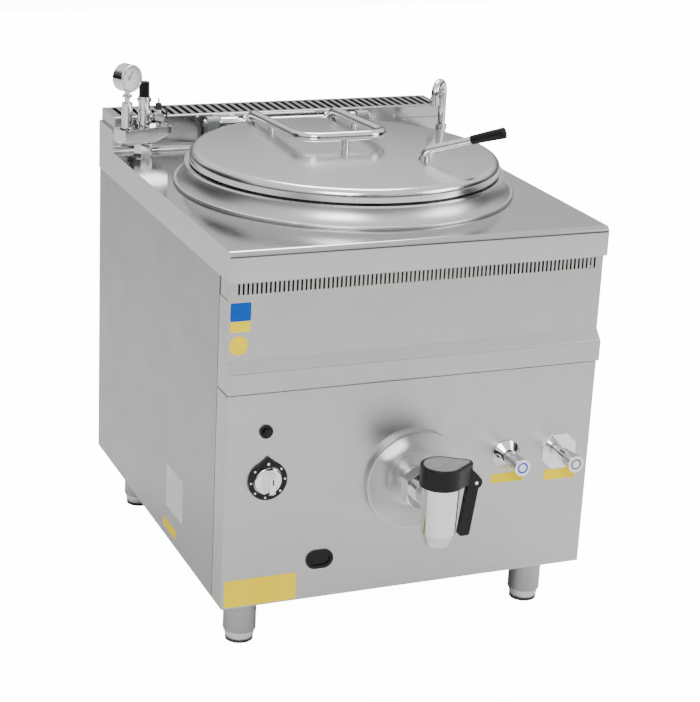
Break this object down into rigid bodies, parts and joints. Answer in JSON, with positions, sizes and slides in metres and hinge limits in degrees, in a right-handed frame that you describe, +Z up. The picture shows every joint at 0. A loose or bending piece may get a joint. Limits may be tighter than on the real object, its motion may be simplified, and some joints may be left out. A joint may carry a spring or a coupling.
{
  "type": "steam jacketed kettle",
  "caption": "Free-standing stainless gas boiling pan with a steam jacket, hinged round lid, drain tap, water spout, valves and safety group.",
  "frame": {"origin": "on the floor, below the middle of the outline seen from above", "axes": "+X to the user's right, +Y to the rear, +Z up"},
  "size_m": [0.8161, 1.071, 1.055],
  "materials": {
    "brushed": "brushed stainless sheet",
    "polished": "satin polished stainless",
    "galvanised": "plain sheet",
    "leg": "brushed tube with a dark pad",
    "chrome": "chromed",
    "dark_metal": "dark enamel",
    "aluminium": "die cast",
    "brass": "plain",
    "cast_iron": "as cast",
    "wool": "mineral wool",
    "black": "moulded",
    "grey_plastic": "moulded",
    "dial": "white enamel",
    "glass": "clear"
  },
  "bodies": {
    "cabinet": {"worktop": "brushed", "flue_cap": "brushed", "flue_duct": "galvanised", "right_side_panel": "brushed", "left_side_panel": "brushed", "back_panel": "galvanised", "vent_strip": "brushed", "upper_front_panel": "brushed", "lower_front_panel": "brushed", "base_frame": "galvanised", "pan_vessel": "polished", "steam_jacket": "galvanised", "jacket_insulation": "wool", "pan_collar": "polished", "burner": "cast_iron", "gas_valve": "aluminium", "gas_pipes": "brass", "knob_bezel": "black", "igniter_body": "black", "sight_port": "black", "drain_pipe": "polished", "tap_rosette": "brushed", "tap_union": "polished", "tap_body": "polished", "valve_rosettes": "chrome", "water_valve_bodies": "chrome", "water_pipes": "brass", "spout_base": "chrome", "hinge_blocks": "dark_metal", "safety_column": "chrome", "safety_dish": "chrome", "gauge_pillar": "chrome", "gauge_case": "chrome", "gauge_dial": "dial", "gauge_glass": "glass", "safety_valve_body": "chrome", "air_valve_body": "chrome"},
    "lid": {"lid_cover": "polished", "lid_liner": "polished", "lid_arm": "polished", "lid_arm_fixings": "polished", "hinge_shaft": "polished", "lid_handle": "polished", "lid_grip": "black"},
    "spout": {"water_spout": "chrome"},
    "gas_knob_body": {"gas_knob": "chrome"},
    "igniter_button_body": {"igniter_button": "black"},
    "tap_key": {"tap_plug": "polished", "tap_cap": "black", "tap_cap_plate": "grey_plastic"},
    "tap_lever_body": {"tap_lever": "black"},
    "cold_handle": {"cold_valve_handle": "chrome"},
    "hot_handle": {"hot_valve_handle": "chrome"},
    "needle": {"gauge_needle": "black"},
    "safety_cap": {"safety_valve_cap": "black"},
    "air_knob": {"air_valve_knob": "dark_metal"},
    "foot_fl": {"foot_front_left": "leg"},
    "foot_fr": {"foot_front_right": "leg"},
    "foot_rl": {"foot_rear_left": "leg"},
    "foot_rr": {"foot_rear_right": "leg"}
  },
  "joints": [
    {"name": "lid_hinge", "type": "hinge", "parent": "cabinet", "child": "lid", "pos_m": [0, 0.4035, 0.912], "axis": [-1, 0, 0], "range_deg": [0, 80]},
    {"name": "spout_swivel", "type": "hinge", "parent": "cabinet", "child": "spout", "pos_m": [0.338, 0.3115, 0.876], "axis": [0, 0, 1], "range_deg": [-90, 90]},
    {"name": "gas_knob_turn", "type": "hinge", "parent": "cabinet", "child": "gas_knob_body", "pos_m": [-0.312, -0.3645, 0.385], "axis": [0, -1, 0], "range_deg": [0, 180]},
    {"name": "igniter_press", "type": "slide", "parent": "cabinet", "child": "igniter_button_body", "axis": [0, 1, 0], "range_m": [0, 0.004], "stiffness_N_per_m": 400, "springref_m": -0.004},
    {"name": "tap_turn", "type": "hinge", "parent": "cabinet", "child": "tap_key", "pos_m": [0, -0.4925, 0.392], "axis": [0, 0, -1], "range_deg": [0, 90]},
    {"name": "tap_lever_fold", "type": "hinge", "parent": "tap_key", "child": "tap_lever_body", "pos_m": [0.069, -0.4925, 0.393], "axis": [0, -1, 0], "range_deg": [0, 90]},
    {"name": "cold_valve_turn", "type": "hinge", "parent": "cabinet", "child": "cold_handle", "pos_m": [0.206, -0.3645, 0.381], "axis": [0, -1, 0], "range_deg": [0, 180]},
    {"name": "hot_valve_turn", "type": "hinge", "parent": "cabinet", "child": "hot_handle", "pos_m": [0.328, -0.3645, 0.375], "axis": [0, -1, 0], "range_deg": [0, 180]},
    {"name": "gauge_needle_turn", "type": "hinge", "parent": "cabinet", "child": "needle", "pos_m": [-0.38303, 0.3754, 1.025], "axis": [-0.4163, 0.9092, 0], "range_deg": [-165, 95]},
    {"name": "safety_cap_turn", "type": "hinge", "parent": "cabinet", "child": "safety_cap", "pos_m": [-0.34152, 0.38678, 0.981], "axis": [0, 0, 1], "range_deg": [0, 90]},
    {"name": "air_valve_turn", "type": "hinge", "parent": "cabinet", "child": "air_knob", "pos_m": [-0.30766, 0.38937, 0.95], "axis": [0, 0, 1], "range_deg": [0, 90]},
    {"name": "foot_fl_turn", "type": "hinge", "parent": "cabinet", "child": "foot_fl", "pos_m": [-0.325, -0.2695, 0.024], "axis": [0, 0, 1], "range_deg": [-180, 180]},
    {"name": "foot_fr_turn", "type": "hinge", "parent": "cabinet", "child": "foot_fr", "pos_m": [0.325, -0.2695, 0.024], "axis": [0, 0, 1], "range_deg": [-180, 180]},
    {"name": "foot_rl_turn", "type": "hinge", "parent": "cabinet", "child": "foot_rl", "pos_m": [-0.325, 0.4405, 0.024], "axis": [0, 0, 1], "range_deg": [-180, 180]},
    {"name": "foot_rr_turn", "type": "hinge", "parent": "cabinet", "child": "foot_rr", "pos_m": [0.325, 0.4405, 0.024], "axis": [0, 0, 1], "range_deg": [-180, 180]}
  ]
}
